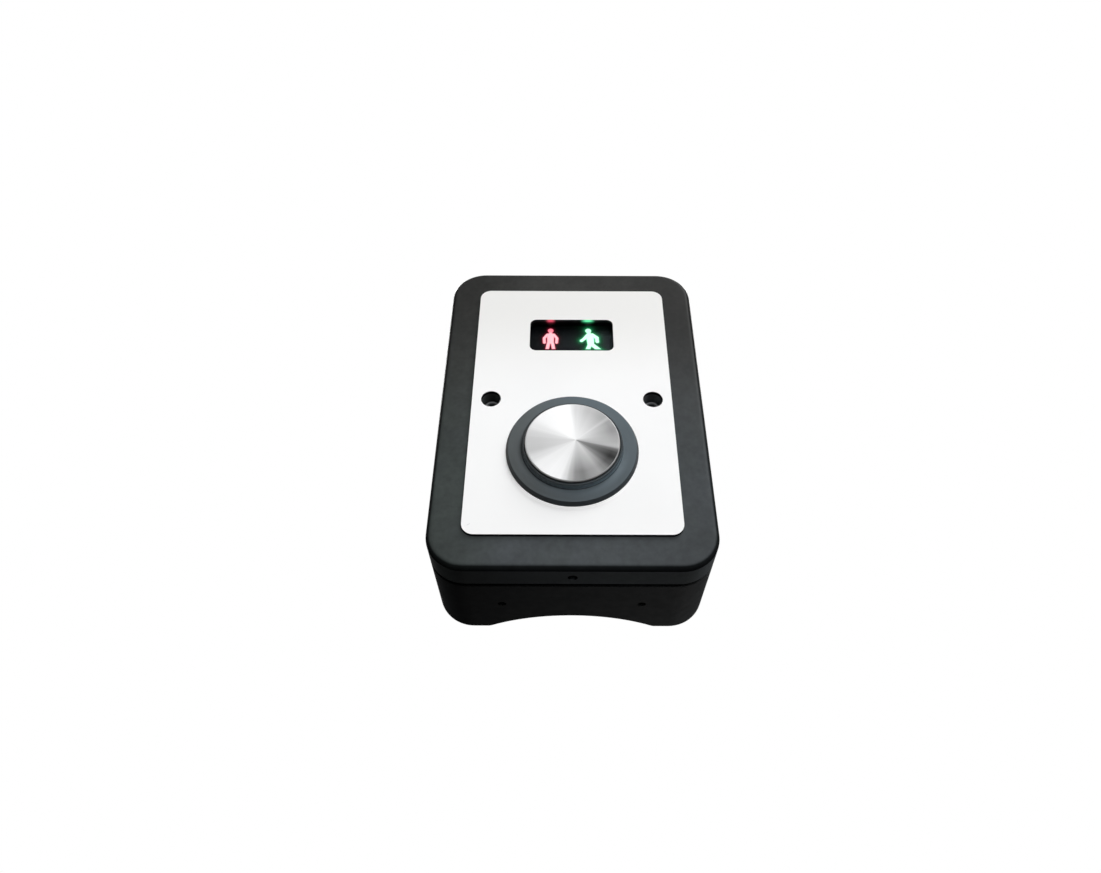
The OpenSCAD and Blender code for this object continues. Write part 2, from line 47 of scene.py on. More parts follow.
# ---------------------------------------------------------------- node helpers
class Tree:
    """Builds a material's nodes with short calls."""

    def __init__(self, name):
        self.mat = bpy.data.materials.new(name)
        self.mat.use_nodes = True
        self.nt = self.mat.node_tree
        self.nt.nodes.clear()
        self.out = self.nt.nodes.new("ShaderNodeOutputMaterial")
        self.tc = self.nt.nodes.new("ShaderNodeTexCoord")
        self.obj = self.tc.outputs["Object"]

    def new(self, kind, **props):
        n = self.nt.nodes.new(kind)
        for k, v in props.items():
            setattr(n, k, v)
        return n

    def put(self, sock, value):
        if isinstance(value, bpy.types.NodeSocket):
            self.nt.links.new(value, sock)
        elif value is not None:
            sock.default_value = value

    def m(self, op, a, b=None, c=None, clamp=False):
        n = self.new("ShaderNodeMath", operation=op, use_clamp=clamp)
        for s, v in zip(n.inputs, (a, b, c)):
            self.put(s, v)
        return n.outputs[0]

    def v(self, op, a, b=None, scale=None):
        n = self.new("ShaderNodeVectorMath", operation=op)
        self.put(n.inputs[0], a)
        if b is not None:
            self.put(n.inputs[1], b)
        if scale is not None:
            self.put(n.inputs["Scale"], scale)
        return n.outputs["Value"] if op in ("LENGTH", "DOT_PRODUCT", "DISTANCE") else n.outputs["Vector"]

    def xyz(self, vec=None):
        n = self.new("ShaderNodeSeparateXYZ")
        self.put(n.inputs[0], vec or self.obj)
        return n.outputs

    def vec(self, x, y, z):
        n = self.new("ShaderNodeCombineXYZ")
        for s, v in zip(n.inputs, (x, y, z)):
            self.put(s, v)
        return n.outputs[0]

    def smooth(self, x, lo, hi, to_lo=0.0, to_hi=1.0):
        n = self.new("ShaderNodeMapRange", interpolation_type="SMOOTHSTEP")
        for s, v in zip(n.inputs, (x, lo, hi, to_lo, to_hi)):
            self.put(s, v)
        return n.outputs[0]

    def lin(self, x, lo, hi, to_lo=0.0, to_hi=1.0):
        n = self.new("ShaderNodeMapRange")
        for s, v in zip(n.inputs, (x, lo, hi, to_lo, to_hi)):
            self.put(s, v)
        return n.outputs[0]

    def noise(self, scale, detail=2.0, rough=0.5, vec=None, dims="3D"):
        n = self.new("ShaderNodeTexNoise", noise_dimensions=dims)
        self.put(n.inputs["Vector"], vec or self.obj)
        n.inputs["Scale"].default_value = scale
        n.inputs["Detail"].default_value = detail
        n.inputs["Roughness"].default_value = rough
        return n.outputs["Fac"]

    def voronoi(self, scale, feature="F1", vec=None, randomness=1.0):
        n = self.new("ShaderNodeTexVoronoi", feature=feature)
        self.put(n.inputs["Vector"], vec or self.obj)
        n.inputs["Scale"].default_value = scale
        n.inputs["Randomness"].default_value = randomness
        return n.outputs["Distance"]

    def mix(self, fac, a, b):
        n = self.new("ShaderNodeMix", data_type="RGBA")
        self.put(n.inputs[0], fac)
        self.put(n.inputs[6], rgba(a))
        self.put(n.inputs[7], rgba(b))
        return n.outputs[2]

    def scaled(self, col, k):
        """Colour col times k."""
        n = self.new("ShaderNodeMix", data_type="RGBA", blend_type="MULTIPLY")
        n.inputs[0].default_value = 1.0
        self.put(n.inputs[6], rgba(col))
        g = self.new("ShaderNodeCombineColor")
        for s in g.inputs:
            self.put(s, k)
        self.put(n.inputs[7], g.outputs[0])
        return n.outputs[2]

    def bump(self, height, strength, distance, normal=None):
        n = self.new("ShaderNodeBump")
        n.inputs["Strength"].default_value = strength
        n.inputs["Distance"].default_value = distance
        self.put(n.inputs["Height"], height)
        if normal is not None:
            self.put(n.inputs["Normal"], normal)
        return n.outputs[0]

    def principled(self, **inputs):
        n = self.new("ShaderNodeBsdfPrincipled")
        for k, v in inputs.items():
            self.put(n.inputs[k.replace("_", " ")], rgba(v) if k in ("Base_Color", "Emission_Color") else v)
        return n.outputs[0]

    def done(self, shader):
        self.nt.links.new(shader, self.out.inputs["Surface"])
        return self.mat


def rgba(c):
    if isinstance(c, (tuple, list)) and len(c) == 3:
        return (c[0], c[1], c[2], 1.0)
    return c


def assign(names, mat):
    for n in names if isinstance(names, (list, tuple)) else [names]:
        o = nodes[n]
        o.data.materials.clear()
        o.data.materials.append(mat)
        for p in o.data.polygons:
            p.material_index = 0


# ---------------------------------------------------------------- general materials
def moulded(name, col, rough, grain=2600.0, depth=0.00002, mottle=0.12, spec=0.5, sheen=0.0, painted_side_shade=None):
    """Fine-grained moulded plastic: two sizes of grain, slow colour and gloss changes."""
    t = Tree(name)
    big = t.noise(38.0, 3.0, 0.55)
    mid = t.noise(240.0, 3.0, 0.6)
    fine = t.noise(grain, 3.0, 0.6)
    cells = t.voronoi(grain * 0.55)
    level = t.m("ADD", t.lin(big, 0.3, 0.7, 1 - mottle, 1 + mottle), t.lin(mid, 0.3, 0.7, -mottle * 0.35, mottle * 0.35))
    if painted_side_shade:                                      # painted shade: the left side darker than the right, with painted light on the side flanks
        k = t.lin(t.xyz()[0], -0.055, 0.055, painted_side_shade[0], painted_side_shade[1])
        spec = t.m("MULTIPLY", k, spec)
        nx = t.xyz(t.new("ShaderNodeNewGeometry").outputs["Normal"])[0]
        painted_flank_light = t.m("MULTIPLY", t.m("ADD", t.smooth(nx, -0.20, -0.75, 0.0, 6.0), t.smooth(nx, 0.05, 0.7, 0.0, 1.0)), t.smooth(t.m("ABSOLUTE", t.xyz()[0]), 0.044, 0.052))
        level = t.m("MULTIPLY", t.m("MULTIPLY", level, k), t.m("ADD", 1.0, painted_flank_light))
    h = t.m("ADD", t.m("MULTIPLY", fine, 0.6), t.m("MULTIPLY", cells, 0.5))
    nrm = t.bump(h, 0.55, depth)
    r = t.m("ADD", t.lin(mid, 0.3, 0.7, rough - 0.05, rough + 0.05), t.lin(fine, 0.3, 0.7, -0.04, 0.04), clamp=True)
    return t.done(t.principled(Base_Color=t.scaled(col, level), Roughness=r, Specular_IOR_Level=spec, Sheen_Weight=sheen, Normal=nrm))


def metal(name, col, rough, grain=1500.0, depth=0.00001, aniso=0.0):
    """Plated or machined metal with fine directional scratches and slight tarnish."""
    t = Tree(name)
    x, y, z = t.xyz()
    lines = t.noise(1.0, 3.0, 0.6, vec=t.vec(t.m("MULTIPLY", x, grain * 2.2), t.m("MULTIPLY", y, grain * 0.25), t.m("MULTIPLY", z, grain * 0.6)))
    stain = t.noise(160.0, 3.0, 0.5)
    nrm = t.bump(lines, 0.35, depth)
    return t.done(t.principled(Base_Color=t.scaled(col, t.lin(stain, 0.3, 0.7, 0.86, 1.06)), Metallic=1.0,
                               Roughness=t.lin(stain, 0.25, 0.75, rough - 0.06, rough + 0.08), Anisotropic=aniso, Normal=nrm))


def rubber(name, col=(0.012, 0.012, 0.013)):
    t = Tree(name)
    n1 = t.noise(900.0, 4.0, 0.65)
    dust = t.noise(60.0, 3.0, 0.5)
    return t.done(t.principled(Base_Color=t.scaled(col, t.lin(dust, 0.3, 0.7, 0.8, 1.5)), Roughness=t.lin(n1, 0.3, 0.7, 0.62, 0.82),
                               Specular_IOR_Level=0.3, Normal=t.bump(n1, 0.5, 0.00003)))


def board(name):
    """Circuit board: solder mask over weave, with lighter tracks."""
    t = Tree(name)
    x, y, z = t.xyz()
    weave = t.m("MULTIPLY", t.m("SINE", t.m("MULTIPLY", x, 5200.0)), t.m("SINE", t.m("MULTIPLY", z, 5200.0)))
    tracks = t.voronoi(180.0, "DISTANCE_TO_EDGE")
    on = t.smooth(tracks, 0.035, 0.055, 1.0, 0.0)
    col = t.mix(on, (0.012, 0.085, 0.035), (0.03, 0.19, 0.08))
    return t.done(t.principled(Base_Color=col, Roughness=0.32, Coat_Weight=0.3, Coat_Roughness=0.2, Normal=t.bump(t.m("ADD", t.m("MULTIPLY", weave, 0.1), on), 0.4, 0.00002)))


# ---------------------------------------------------------------- window opening walls
def in_window(t):
    """1 on the walls of the window opening, 0 elsewhere."""
    x, y, z = t.xyz()
    ax = t.m("ABSOLUTE", x)
    az = t.m("ABSOLUTE", t.m("SUBTRACT", z, 0.0438))
    a = t.m("LESS_THAN", ax, 0.0224)
    b = t.m("LESS_THAN", az, 0.0114)
    c = t.m("LESS_THAN", y, -0.0455)
    return t.m("MULTIPLY", t.m("MULTIPLY", a, b), c)


def spill(t, x):
    """Masks for the painted light above the red and the green figure."""
    return [t.smooth(t.m("ABSOLUTE", t.m("SUBTRACT", x, cx)), half * 0.1, half, 1.0, 0.0) for cx, half in ((-0.0113, 0.0031), (0.0088, 0.0043))]


def cut_edge(t):
    """Polished cut edge, with the light of the two figures painted along its top as emission."""
    n = t.noise(420.0, 2.0, 0.5)
    x, y, z = t.xyz()
    top = t.smooth(z, 0.0535, 0.0546, 0.0, 1.0)
    front = t.smooth(y, -0.0489, -0.0498, 0.0, 1.0)

    red, green = (t.m("MULTIPLY", t.m("MULTIPLY", top, front), k) for k in spill(t, x))
    glow = t.mix(green, t.mix(red, (0.0, 0.0, 0.0), (0.80, 0.08, 0.14)), (0.14, 1.0, 0.45))
    return t.principled(Base_Color=(0.030, 0.031, 0.031), Roughness=t.lin(n, 0.3, 0.7, 0.28, 0.36), Specular_IOR_Level=0.25,
                        Emission_Color=glow, Emission_Strength=1.0)


def black_gloss(t):
    n = t.noise(420.0, 2.0, 0.5)
    x, y, z = t.xyz()
    edge = t.m("MULTIPLY", t.smooth(z, 0.0535, 0.0546, 0.0, 1.0), t.smooth(y, -0.0480, -0.0492, 0.0, 1.0))
    # painted light of the two figures along the top of the opening, as emission
    red, green = (t.m("MULTIPLY", edge, k) for k in spill(t, x))
    glow = t.mix(green, t.mix(red, (0.0, 0.0, 0.0), (0.32, 0.015, 0.04)), (0.01, 0.32, 0.10))
    return t.principled(Base_Color=(0.002, 0.002, 0.0022), Roughness=t.lin(n, 0.3, 0.7, 0.30, 0.40), Specular_IOR_Level=0.2,
                        Emission_Color=glow, Emission_Strength=1.0)


def mix_shader(t, fac, a, b):
    n = t.new("ShaderNodeMixShader")
    t.put(n.inputs[0], fac)
    t.nt.links.new(a, n.inputs[1])
    t.nt.links.new(b, n.inputs[2])
    return n.outputs[0]


# ---------------------------------------------------------------- shells
def cover_material():
    t = Tree("cover_charcoal")
    x, y, z = t.xyz()
    big = t.noise(26.0, 4.0, 0.6)
    mid = t.noise(170.0, 3.0, 0.6)
    fine = t.noise(2300.0, 3.0, 0.65)
    cells = t.voronoi(1300.0)
    patch = t.noise(430.0, 2.0, 0.6)
    level = t.m("ADD", t.lin(big, 0.3, 0.7, 0.93, 1.07), t.m("ADD", t.lin(mid, 0.3, 0.7, -0.11, 0.11), t.lin(patch, 0.3, 0.7, -0.06, 0.06)))
    # painted shade: the top darker than the lower half, and the left a touch darker than the right
    level = t.m("MULTIPLY", level, t.m("MULTIPLY", t.smooth(z, -0.093, 0.093, 1.12, 0.70), t.lin(x, -0.066, 0.066, 0.92, 0.98)))
    # painted shade: the edges away from the middle a little darker, with painted light on the bottom middle
    out = t.smooth(t.m("ABSOLUTE", x), 0.02, 0.060, 0.0, 1.0)
    high = t.smooth(z, -0.01, 0.06, 0.0, 1.0)
    low = t.smooth(z, -0.05, -0.09, 0.0, 1.0)
    shade = t.m("ADD", t.m("MULTIPLY", out, t.m("ADD", 0.02, t.m("ADD", t.m("MULTIPLY", high, 0.38), t.m("MULTIPLY", low, 0.32)))), t.m("SUBTRACT", t.m("MULTIPLY", high, 0.03), t.m("MULTIPLY", low, 0.10)))
    level = t.m("MULTIPLY", level, t.m("SUBTRACT", 1.12, shade))
    # painted shade towards the top right, painted light towards the top left
    level = t.m("MULTIPLY", level, t.m("SUBTRACT", 1.0, t.m("MULTIPLY", high, t.lin(x, -0.06, 0.06, -0.12, 0.22))))
    h = t.m("ADD", t.m("MULTIPLY", fine, 0.6), t.m("MULTIPLY", cells, 0.5))
    nrm = t.bump(h, 0.5, 0.000022)
    geo = t.new("ShaderNodeNewGeometry")
    ny = t.m("ABSOLUTE", t.xyz(geo.outputs["Normal"])[1])
    # painted light on the downward faces of the skirt, with painted shade towards the left
    painted_underside_light = t.smooth(t.xyz(geo.outputs["Normal"])[2], -0.3, -0.9, 0.0, 1.0)
    level = t.m("MULTIPLY", level, t.m("ADD", 1.0, t.m("MULTIPLY", t.m("MULTIPLY", painted_underside_light, t.smooth(ny, 0.0, 0.08, 1.0, 0.0)), t.lin(x, -0.05, 0.05, -0.4, 0.9))))
    # painted shade on the rounded edges
    painted_bevel_shade = t.m("MULTIPLY", t.smooth(ny, 0.97, 0.80, 0.0, 1.0), t.smooth(ny, 0.02, 0.14, 0.0, 1.0))
    nz = t.xyz(geo.outputs["Normal"])[2]
    painted_bevel_shade = t.m("MULTIPLY", painted_bevel_shade, t.smooth(nz, 0.0, 0.4, 1.0, 0.0))
    level = t.m("MULTIPLY", level, t.lin(painted_bevel_shade, 0.0, 1.0, 1.0, 0.22))
    nx = t.xyz(geo.outputs["Normal"])[0]
    # painted light on the side flanks
    painted_flank_light = t.m("MULTIPLY", t.m("ADD", t.smooth(nx, -0.05, -0.65, 0.0, 1.9), t.smooth(nx, 0.25, 0.7, 0.0, 1.1)), t.smooth(ny, 0.3, 0.05, 0.0, 1.0))
    level = t.m("MULTIPLY", level, t.m("ADD", 1.0, painted_flank_light))
    # painted light on the walls of the screw holes
    ax = t.m("SUBTRACT", t.m("ABSOLUTE", x), 0.0405)
    bore = t.m("SQRT", t.m("ADD", t.m("MULTIPLY", ax, ax), t.m("MULTIPLY", z, z)))
    painted_bore_light = t.m("MULTIPLY", t.m("LESS_THAN", bore, 0.0052), t.m("GREATER_THAN", y, -0.0493))
    level = t.m("ADD", level, t.m("MULTIPLY", painted_bore_light, 0.8))
    slate = t.mix(t.m("ADD", t.smooth(x, -0.025, -0.060), t.lin(t.noise(60.0, 3.0, 0.6), 0.3, 0.7, -0.3, 0.35), clamp=True), (0.0455, 0.0515, 0.0555), (0.0440, 0.0520, 0.0500))
    tint = t.mix(t.smooth(z, -0.05, 0.09), slate, (0.0505, 0.051, 0.0490))
    col = t.scaled(tint, level)
    r = t.m("ADD", t.lin(big, 0.3, 0.7, 0.36, 0.44), t.lin(fine, 0.3, 0.7, -0.05, 0.05))
    body = t.principled(Base_Color=col, Roughness=r, Specular_IOR_Level=t.lin(painted_bevel_shade, 0.0, 1.0, 0.07, 0.01), Normal=nrm)
    return t.done(mix_shader(t, in_window(t), body, black_gloss(t)))


def plate_material():
    t = Tree("plate_white")
    x, y, z = t.xyz()
    geo = t.new("ShaderNodeNewGeometry")
    ny = t.xyz(geo.outputs["True Normal"])[1]
    edge = t.smooth(t.m("ABSOLUTE", ny), 0.5, 0.9, 1.0, 0.0)      # cut edges show the dark core
    big = t.noise(18.0, 3.0, 0.5)
    fine = t.noise(2600.0, 2.0, 0.5)
    speck = t.smooth(t.voronoi(520.0), 0.0, 0.06, 1.0, 0.0)
    white = t.mix(t.lin(big, 0.3, 0.7, 0.0, 1.0), (0.925, 0.930, 0.932), (0.955, 0.958, 0.958))
    # painted shade: the top of the plate darker and warmer, the bottom a touch darker
    white = t.mix(t.smooth(z, 0.0, 0.065), white, (0.840, 0.838, 0.824))
    white = t.scaled(white, t.smooth(z, -0.035, -0.070, 1.0, 0.97))
    white = t.mix(t.m("MULTIPLY", speck, 0.035), white, (0.45, 0.45, 0.44))
    # one small scuff near the lower left corner
    sx = t.m("SUBTRACT", x, -0.0467)
    sz = t.m("SUBTRACT", z, -0.0720)
    along = t.m("ADD", t.m("MULTIPLY", sx, 0.82), t.m("MULTIPLY", sz, 0.57))
    across = t.m("ABSOLUTE", t.m("SUBTRACT", t.m("MULTIPLY", sx, 0.57), t.m("MULTIPLY", sz, 0.82)))
    scuff = t.m("MULTIPLY", t.smooth(t.m("ABSOLUTE", along), 0.0005, 0.0011, 1.0, 0.0), t.smooth(across, 0.00005, 0.0002, 1.0, 0.0))
    white = t.mix(t.m("MULTIPLY", scuff, 0.5), white, (0.40, 0.40, 0.42))
    core = t.scaled((0.012, 0.010, 0.014), t.lin(fine, 0.3, 0.7, 0.7, 1.3))
    # the cut edge of the plate is light grey for its first 0.7 mm inside the screw holes
    hx = t.m("SUBTRACT", t.m("ABSOLUTE", x), 0.0405)
    bore = t.m("LESS_THAN", t.m("SQRT", t.m("ADD", t.m("MULTIPLY", hx, hx), t.m("MULTIPLY", z, z))), 0.0053)
    core = t.mix(t.m("MULTIPLY", bore, t.smooth(y, -0.0510, -0.0503, 1.0, 0.0)), core, (0.62, 0.62, 0.62))
    col = t.mix(edge, white, core)
    # painted light: emission lifts the shadow under the lower edge of the bezel
    dz, ring = t.m("SUBTRACT", z, BTN[1]), polar(t, BTN[0], BTN[1])[2]
    painted_glow_under_bezel = t.m("MULTIPLY", t.smooth(ring, 0.0316, 0.0342, 1.0, 0.0), t.smooth(dz, -0.008, -0.026, 0.0, 1.0))
    painted_glow_under_bezel = t.m("MULTIPLY", t.m("MULTIPLY", painted_glow_under_bezel, painted_glow_under_bezel), t.m("SUBTRACT", 1.0, edge))
    face = t.principled(Base_Color=col, Roughness=t.lin(big, 0.3, 0.7, 0.42, 0.50), Specular_IOR_Level=0.1, Normal=t.bump(fine, 0.12, 0.00001),
                        Emission_Color=(1.0, 1.0, 1.0), Emission_Strength=t.m("MULTIPLY", painted_glow_under_bezel, 0.27))
    return t.done(mix_shader(t, t.m("MULTIPLY", in_window(t), edge), face, cut_edge(t)))


# ---------------------------------------------------------------- lit figures
RED_X, GREEN_X = -11.3, 9.1
RED_LIMBS = [
    (0, 52.15, 0, 52.15, 1.55), (0, 51, 0, 48.5, 0.95), (-1.55, 49.25, 1.55, 49.25, 0.85),
    (-1.0, 48.4, -0.85, 43.3, 0.95), (1.0, 48.4, 0.85, 43.3, 0.95),
    (-1.75, 49.2, -3.45, 46.6, 0.85), (1.75, 49.2, 3.45, 46.6, 0.85),
    (-3.45, 46.6, -3.25, 43.4, 0.85), (3.45, 46.6, 3.25, 43.4, 0.85),
    (-1.1, 42.9, -2.1, 36, 0.98), (1.1, 42.9, 2.1, 36, 0.98), (0, 47.6, 0, 44.2, 1.8),
]
GREEN_LIMBS = [
    (0, 52.15, 0, 52.15, 1.65), (0.2, 51, 0.9, 48, 1.15), (0.1, 48.8, 0.6, 42.6, 1.2), (1.5, 48.8, 2.1, 42.6, 1.2),
    (2.1, 49.2, 4.55, 47, 1.15), (4.55, 47, 4.8, 44.2, 1.05), (-0.3, 49, -1.9, 46.6, 1.1), (-1.9, 46.6, -3.7, 44.8, 0.98),
    (0.75, 42, -1.25, 36.2, 1.2), (1.7, 42.3, 5.6, 38.2, 1.25), (5.6, 38.2, 7.5, 36.2, 1.2), (0.95, 48.2, 1.3, 43.2, 1.9),
]
FEET_Z = 38.7


def capsule_group():
    g = bpy.data.node_groups.new("capsule_distance", "ShaderNodeTree")
    for n in ("P", "A", "B"):
        g.interface.new_socket(n, in_out="INPUT", socket_type="NodeSocketVector")
    g.interface.new_socket("R", in_out="INPUT", socket_type="NodeSocketFloat")
    g.interface.new_socket("D", in_out="OUTPUT", socket_type="NodeSocketFloat")
    i, o = g.nodes.new("NodeGroupInput"), g.nodes.new("NodeGroupOutput")

    def vm(op, a, b=None, s=None):
        n = g.nodes.new("ShaderNodeVectorMath")
        n.operation = op
        g.links.new(a, n.inputs[0])
        if b is not None:
            g.links.new(b, n.inputs[1])
        if s is not None:
            g.links.new(s, n.inputs["Scale"])
        return n.outputs["Value"] if op in ("LENGTH", "DOT_PRODUCT") else n.outputs["Vector"]

    pa = vm("SUBTRACT", i.outputs["P"], i.outputs["A"])
    ba = vm("SUBTRACT", i.outputs["B"], i.outputs["A"])
    up, dn = vm("DOT_PRODUCT", pa, ba), vm("DOT_PRODUCT", ba, ba)
    mx = g.nodes.new("ShaderNodeMath"); mx.operation = "MAXIMUM"; mx.inputs[1].default_value = 1e-6
    g.links.new(dn, mx.inputs[0])
    dv = g.nodes.new("ShaderNodeMath"); dv.operation = "DIVIDE"; dv.use_clamp = True
    g.links.new(up, dv.inputs[0]); g.links.new(mx.outputs[0], dv.inputs[1])
    ln = vm("LENGTH", vm("SUBTRACT", pa, vm("SCALE", ba, s=dv.outputs[0])))
    sb = g.nodes.new("ShaderNodeMath"); sb.operation = "SUBTRACT"
    g.links.new(ln, sb.inputs[0]); g.links.new(i.outputs["R"], sb.inputs[1])
    g.links.new(sb.outputs[0], o.inputs["D"])
    return g


CAPSULE = capsule_group()


def figure_distance(t, limbs, x0):
    """Distance in mm from a figure's outline, negative inside."""
    x, y, z = t.xyz()
    p = t.vec(t.m("SUBTRACT", t.m("MULTIPLY", x, 1000.0), x0), 0.0, t.m("MULTIPLY", z, 1000.0))
    best = None
    for x1, z1, x2, z2, r in limbs:
        n = t.new("ShaderNodeGroup")
        n.node_tree = CAPSULE
        t.put(n.inputs["P"], p)
        n.inputs["A"].default_value = (x1, 0, z1)
        n.inputs["B"].default_value = (x2, 0, z2)
        n.inputs["R"].default_value = r
        best = n.outputs["D"] if best is None else t.m("MINIMUM", best, n.outputs["D"])
    best = t.m("MAXIMUM", best, t.m("SUBTRACT", FEET_Z, t.m("MULTIPLY", z, 1000.0)))
    return best, p


def figure_material(name, limbs, x0, deep, pale, head):
    t = Tree(name)
    d, p = figure_distance(t, limbs, x0)
    z = t.xyz(p)[2]
    core = t.smooth(d, -0.50, 0.20, 1.0, 0.0)
    grain = t.noise(1500.0, 2.0, 0.5)
    lit = t.m("MULTIPLY", t.lin(t.noise(260.0, 2.0, 0.5), 0.3, 0.7, 0.94, 1.04), 1.0)
    up = t.smooth(z, 49.6, 52.0, 0.0, 1.0)          # the head sits above the brightest lamps
    col = t.mix(core, deep, pale)
    col = t.mix(t.m("MULTIPLY", up, head), col, deep)
    sh = t.principled(Base_Color=t.scaled(deep, 0.4), Roughness=t.lin(grain, 0.3, 0.7, 0.4, 0.5), Emission_Color=col,
                      Emission_Strength=lit, Specular_IOR_Level=0.1)
    return t.done(sh)


def mask_material():
    t = Tree("mask_black")
    dr, p = figure_distance(t, RED_LIMBS, RED_X)
    dg, _ = figure_distance(t, GREEN_LIMBS, GREEN_X)
    x = t.xyz(p)[0]
    # painted light: red and green glow of the figures spread onto the black mask as emission
    gr = t.m("POWER", 2.718, t.m("MULTIPLY", t.m("MAXIMUM", dr, 0.0), -2.5))
    gg = t.m("POWER", 2.718, t.m("MULTIPLY", t.m("MAXIMUM", dg, 0.0), -1.25))
    wide = t.m("POWER", 2.718, t.m("MULTIPLY", t.m("MAXIMUM", dg, 0.0), -0.35))
    n = t.noise(500.0, 2.0, 0.5)
    red = t.scaled((0.50, 0.012, 0.05), t.m("MULTIPLY", gr, 0.36))
    green = t.scaled((0.02, 0.42, 0.14), t.m("ADD", t.m("MULTIPLY", gg, 0.62), t.m("MULTIPLY", wide, 0.025)))
    add = t.new("ShaderNodeMix", data_type="RGBA", blend_type="ADD")
    add.inputs[0].default_value = 1.0
    t.put(add.inputs[6], red)
    t.put(add.inputs[7], green)
    return t.done(t.principled(Base_Color=t.scaled((0.003, 0.0033, 0.004), t.lin(n, 0.3, 0.7, 0.8, 1.25)), Roughness=t.lin(n, 0.3, 0.7, 0.3, 0.4),
                               Specular_IOR_Level=0.05, Emission_Color=add.outputs[2], Emission_Strength=1.0))


def pane_material():
    t = Tree("window_clear")
    tr = t.new("ShaderNodeBsdfTransparent")
    smear = t.noise(90.0, 3.0, 0.5)
    tr.inputs[0].default_value = (0.97, 0.985, 0.99, 1)
    gl = t.new("ShaderNodeBsdfGlossy")
    gl.inputs["Color"].default_value = (0.74, 0.88, 1.0, 1)
    t.put(gl.inputs["Roughness"], t.lin(smear, 0.3, 0.7, 0.12, 0.3))
    x = t.xyz()[0]
    film = t.m("MULTIPLY", t.lin(smear, 0.3, 0.7, 0.8, 1.2), t.m("MULTIPLY", t.m("POWER", t.lin(x, -0.022, 0.022, 0.05, 1.0), 1.7), 0.0145))
    return t.done(mix_shader(t, film, tr.outputs[0], gl.outputs[0]))


# ---------------------------------------------------------------- button
def polar(t, cx, cz):
    x, y, z = t.xyz()
    dx, dz = t.m("SUBTRACT", x, cx), t.m("SUBTRACT", z, cz)
    r = t.m("SQRT", t.m("ADD", t.m("MULTIPLY", dx, dx), t.m("MULTIPLY", dz, dz)))
    return dx, dz, r, t.m("ARCTAN2", dz, dx)


def cap_material():
    """Spun stainless steel with fine concentric grooves; the fan-shaped reflections are painted into its colour."""
    t = Tree("cap_spun_steel")
    dx, dz, r, _ = polar(t, BTN[0], BTN[1])
    # painted reflection: the fans turn about a point a little off the cap centre
    _, _, rf, ang = polar(t, BTN[0] + 0.0016, BTN[1] + 0.0008)
    turn = t.lin(ang, -math.pi, math.pi)          # 0 left, .25 down, .5 right, .75 up

    def sweep(column):
        """Painted reflection: brightness round the centre, from one column of the fan table."""
        ramp = t.new("ShaderNodeValToRGB")
        ramp.color_ramp.interpolation = "EASE"
        el = ramp.color_ramp.elements
        for e, stop in ((el[0], PAINTED_FANS[0]), (el[1], PAINTED_FANS[-1])):
            e.position, e.color = stop[0], (stop[column],) * 3 + (1,)
        for stop in PAINTED_FANS[1:-1]:
            e = el.new(stop[0])
            e.color = (stop[column],) * 3 + (1,)
        t.put(ramp.inputs[0], turn)
        return ramp.outputs[0]

    out = t.lin(rf, 0.0022, 0.0178, 0.0, 1.0)
    swept = t.m("ADD", t.m("MULTIPLY", sweep(1), t.m("SUBTRACT", 1.0, out)), t.m("MULTIPLY", sweep(2), out))
    rings = t.noise(1.0, 3.0, 0.7, vec=t.vec(t.m("MULTIPLY", r, 5200.0), 0.0, 0.0))
    arcs = t.noise(1.0, 2.0, 0.6, vec=t.vec(t.m("MULTIPLY", r, 9000.0), t.m("MULTIPLY", ang, 1.6), 3.0))
    hair = t.smooth(t.noise(1.0, 1.0, 0.5, vec=t.vec(t.m("MULTIPLY", ang, 26.0), t.m("MULTIPLY", r, 14.0), 7.0)), 0.35, 0.7, -0.008, 0.008)
    painted_fan = t.m("MULTIPLY", swept, t.m("ADD", t.lin(rings, 0.3, 0.7, 0.965, 1.035), t.m("MULTIPLY", hair, 1.5)))
    painted_fan = t.m("MULTIPLY", painted_fan, t.lin(arcs, 0.3, 0.7, 0.985, 1.015), clamp=True)
    geo = t.new("ShaderNodeNewGeometry")
    ny = t.m("ABSOLUTE", t.xyz(geo.outputs["Normal"])[1])
    flat = t.smooth(ny, 0.93, 0.995, 0.0, 1.0)
    # painted light and shade on the cap's side wall: lighter to the upper left, darker to the lower right
    wall_painted_shading = t.m("MULTIPLY", t.smooth(ny, 0.0, 0.6, 0.30, 0.62), t.smooth(t.m("SUBTRACT", t.m("MULTIPLY", dx, 0.5), dz), -0.002, 0.012, 1.0, 0.62))
    level = t.m("ADD", t.m("MULTIPLY", painted_fan, flat), t.m("MULTIPLY", t.m("SUBTRACT", 1.0, flat), wall_painted_shading))
    tangent = t.v("NORMALIZE", t.vec(t.m("MULTIPLY", dz, -1.0), 0.0, dx))
    nrm = t.bump(rings, 0.2, 0.000005)
    return t.done(t.principled(Base_Color=t.scaled((0.875, 0.88, 0.885), level), Metallic=t.m("MULTIPLY", flat, 0.25), Roughness=t.m("ADD", t.lin(rings, 0.3, 0.7, 0.36, 0.44), t.m("MULTIPLY", t.m("SUBTRACT", 1.0, flat), 0.2)),
                               Specular_IOR_Level=0.15, Anisotropic=t.m("MULTIPLY", flat, 0.6), Tangent=tangent, Normal=nrm))


